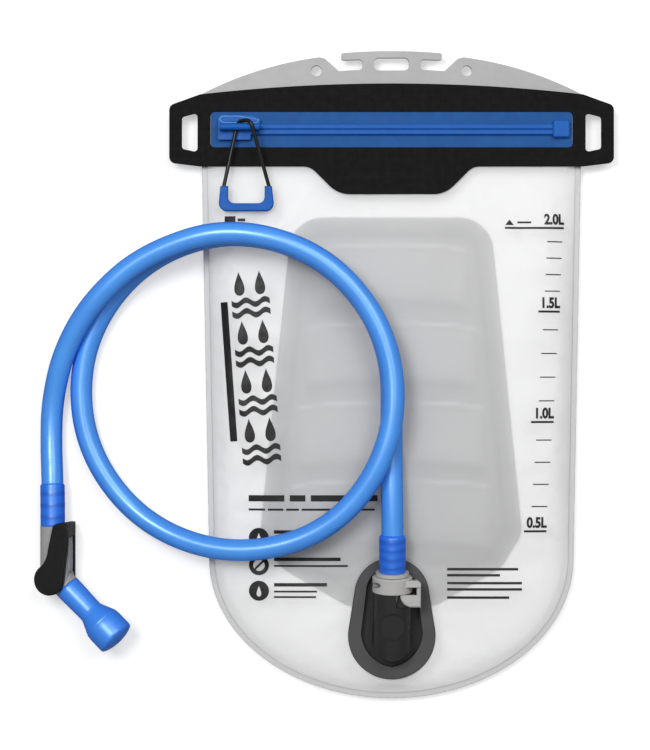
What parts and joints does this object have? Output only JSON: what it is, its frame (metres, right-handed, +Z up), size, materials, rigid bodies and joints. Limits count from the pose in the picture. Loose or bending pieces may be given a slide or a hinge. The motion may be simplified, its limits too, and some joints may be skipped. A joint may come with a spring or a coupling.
{
  "type": "hydration bladder",
  "caption": "Flat film water reservoir with a full-width top zipper, stiff hanger, outlet port with push-in coupling, drinking hose, shut-off valve and bite valve.",
  "frame": {"origin": "on the floor, under the middle of the reservoir's length and width, hose left out", "axes": "+Y along the bag towards the hanger, +X across it, +Z up out of the front face with the zipper and port"},
  "size_m": [0.3181, 0.357, 0.0459],
  "materials": {
    "film_clear": "frosted clear TPU film, soft sheen",
    "panel_grey": "moulded grey sheet, seen blurred through the film",
    "hanger_grey": "grey moulded plastic with fine grain",
    "band_black": "black coated ripstop",
    "tape_blue": "dark blue coated zipper tape",
    "zip_blue": "blue moulded plastic, satin",
    "wire_black": "black coated steel wire",
    "port_dark": "dark grey moulded plastic, satin",
    "coupling_grey": "light grey moulded plastic",
    "seal_rubber": "black rubber",
    "spring_steel": "stainless spring wire",
    "hose_blue": "translucent blue tubing, glossy",
    "valve_grey": "grey moulded plastic",
    "lever_dark": "near-black moulded plastic, satin",
    "bite_silicone": "translucent blue silicone"
  },
  "bodies": {
    "reservoir": {"front_film": "film_clear", "rear_film": "film_clear", "back_panel": "panel_grey", "hanger": "hanger_grey", "zip_surround": "band_black", "zipper_tape_upper": "tape_blue", "zipper_tape_lower": "tape_blue", "zipper_track_upper": "zip_blue", "zipper_track_lower": "zip_blue", "zipper_end_stop": "zip_blue", "port_base": "port_dark", "port_socket": "port_dark", "port_backing_ring": "port_dark", "port_seat": "seal_rubber", "port_poppet": "coupling_grey", "poppet_spring": "spring_steel", "coupling_collar": "coupling_grey", "coupling_spout": "coupling_grey", "coupling_o_rings": "seal_rubber", "hose": "hose_blue", "valve_body": "valve_grey", "valve_thumb_pad": "valve_grey", "bite_valve": "bite_silicone"},
    "slider": {"zipper_slider": "zip_blue"},
    "pull": {"pull_wire": "wire_black", "pull_grip": "zip_blue"},
    "release_button": {"release_button": "coupling_grey"},
    "shutoff_lever": {"valve_lever": "lever_dark", "valve_core": "valve_grey", "valve_o_rings": "seal_rubber"}
  },
  "joints": [
    {"name": "slider_travel", "type": "slide", "parent": "reservoir", "child": "slider", "axis": [1, 0, 0], "range_m": [0, 0.16]},
    {"name": "pull_swing", "type": "hinge", "parent": "slider", "child": "pull", "pos_m": [-0.084, 0.1357, 0.0199], "axis": [-1, 0, 0], "range_deg": [0, 170]},
    {"name": "button_press", "type": "slide", "parent": "reservoir", "child": "release_button", "axis": [-1, 0, 0], "range_m": [0, 0.0018], "stiffness_N_per_m": 800},
    {"name": "shutoff_turn", "type": "hinge", "parent": "reservoir", "child": "shutoff_lever", "pos_m": [-0.1848, -0.1118, 0.0124], "axis": [0.2756, 0, -0.9613], "range_deg": [0, 75]}
  ]
}
